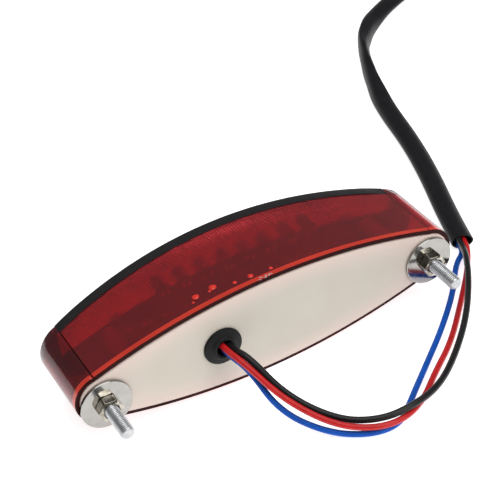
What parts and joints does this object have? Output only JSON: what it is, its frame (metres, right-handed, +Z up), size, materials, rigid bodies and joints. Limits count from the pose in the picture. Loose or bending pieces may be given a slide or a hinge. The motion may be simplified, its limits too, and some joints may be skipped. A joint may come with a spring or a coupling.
{
  "type": "motorcycle tail light",
  "caption": "Cat-eye motorcycle tail light: red crowned lens on a back plate with two threaded studs, washers and nuts, and a sleeved three-wire lead through a grommet.",
  "frame": {"origin": "on the table, under the middle of the lamp's bounding box without its lead", "axes": "+X along the lens towards its right end as seen from the studs, +Y out of the crowned front, +Z up; the studs point along -Y"},
  "size_m": [0.298, 0.2694, 0.0396],
  "materials": {
    "lens_red": "clear red moulded plastic, fine flutes inside",
    "trim_black": "glossy black",
    "plate_cream": "smooth cream plastic",
    "glue": "set glue",
    "board_green": "solder mask",
    "zinc_steel": "zinc plated",
    "nickel": "polished nickel plate",
    "led_epoxy": "clear epoxy",
    "solder": "bright solder",
    "component_black": "moulded epoxy",
    "rubber_black": "matt rubber",
    "pvc_red": "soft PVC",
    "pvc_blue": "soft PVC",
    "pvc_black": "soft PVC",
    "sleeve_black": "soft PVC tube, satin",
    "tinned_copper": "tinned strands"
  },
  "bodies": {
    "lamp": {"lens": "lens_red", "trim_upper": "trim_black", "trim_lower": "trim_black", "back_plate": "plate_cream", "glue_bead": "glue", "circuit_board": "board_green", "board_screws": "zinc_steel", "leds_top": "led_epoxy", "leds_upper": "led_epoxy", "leds_lower": "led_epoxy", "leds_bottom": "led_epoxy", "solder_joints": "solder", "resistors": "component_black", "diodes": "component_black", "stud_left": "zinc_steel", "stud_right": "zinc_steel", "grommet": "rubber_black", "lead_red": "pvc_red", "lead_blue": "pvc_blue", "lead_black": "pvc_black", "wire_red": "pvc_red", "wire_blue": "pvc_blue", "wire_black": "pvc_black", "sleeve": "sleeve_black", "tail_red": "pvc_red", "tail_blue": "pvc_blue", "tail_black": "pvc_black", "wire_ends": "tinned_copper"},
    "washer_left": {"washer_left": "nickel"},
    "nut_left": {"nut_left": "nickel"},
    "washer_right": {"washer_right": "nickel"},
    "nut_right": {"nut_right": "nickel"}
  },
  "joints": [
    {"name": "nut_travel_left", "type": "slide", "parent": "lamp", "child": "washer_left", "axis": [0, -1, 0], "range_m": [0, 0.0192]},
    {"name": "nut_turn_left", "type": "hinge", "parent": "washer_left", "child": "nut_left", "pos_m": [-0.0646, -0.0145, 0.0174], "axis": [0, -1, 0], "range_deg": [0, 8640]},
    {"name": "nut_travel_right", "type": "slide", "parent": "lamp", "child": "washer_right", "axis": [0, -1, 0], "range_m": [0, 0.0192]},
    {"name": "nut_turn_right", "type": "hinge", "parent": "washer_right", "child": "nut_right", "pos_m": [0.0646, -0.0145, 0.0174], "axis": [0, -1, 0], "range_deg": [0, 8640]}
  ],
  "couplings": [
    {"joint": "nut_turn_left", "follows": "nut_travel_left", "rad_per_m": 7854},
    {"joint": "nut_turn_right", "follows": "nut_travel_right", "rad_per_m": 7854}
  ]
}
